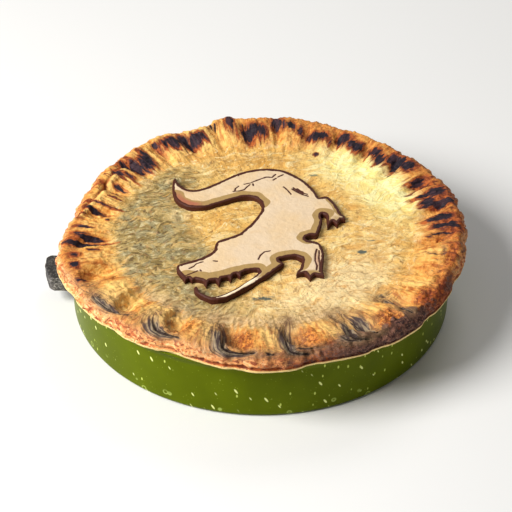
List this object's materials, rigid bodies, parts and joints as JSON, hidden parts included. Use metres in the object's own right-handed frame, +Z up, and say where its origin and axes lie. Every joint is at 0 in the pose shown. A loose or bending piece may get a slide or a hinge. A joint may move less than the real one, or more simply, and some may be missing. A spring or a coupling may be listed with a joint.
{
  "type": "crocodile meat pie",
  "caption": "Round savoury pie baked in its own speckled enamel tin, with a folded crust rim, a crocodile cut from pastry on its lid and a stub handle on the tin.",
  "frame": {"origin": "centre of the tin's flat base, on the surface that it stands on", "axes": "+Z up through the lid, -X towards the stub handle, -Y towards the side that the crocodile's feet and jaws are turned to"},
  "size_m": [0.2291, 0.2219, 0.0466],
  "materials": {
    "green_enamel": "glossy moss green enamel with small pale speckles",
    "cast_metal": "rough dark grey casting skin",
    "baked_crust": "golden baked pastry, orange brown and charred along the folds",
    "pale_pastry": "pale cream pastry with a dark brown baked edge"
  },
  "bodies": {
    "root": {"tin": "green_enamel", "handle": "cast_metal", "pie": "baked_crust", "crocodile": "pale_pastry"}
  },
  "joints": []
}
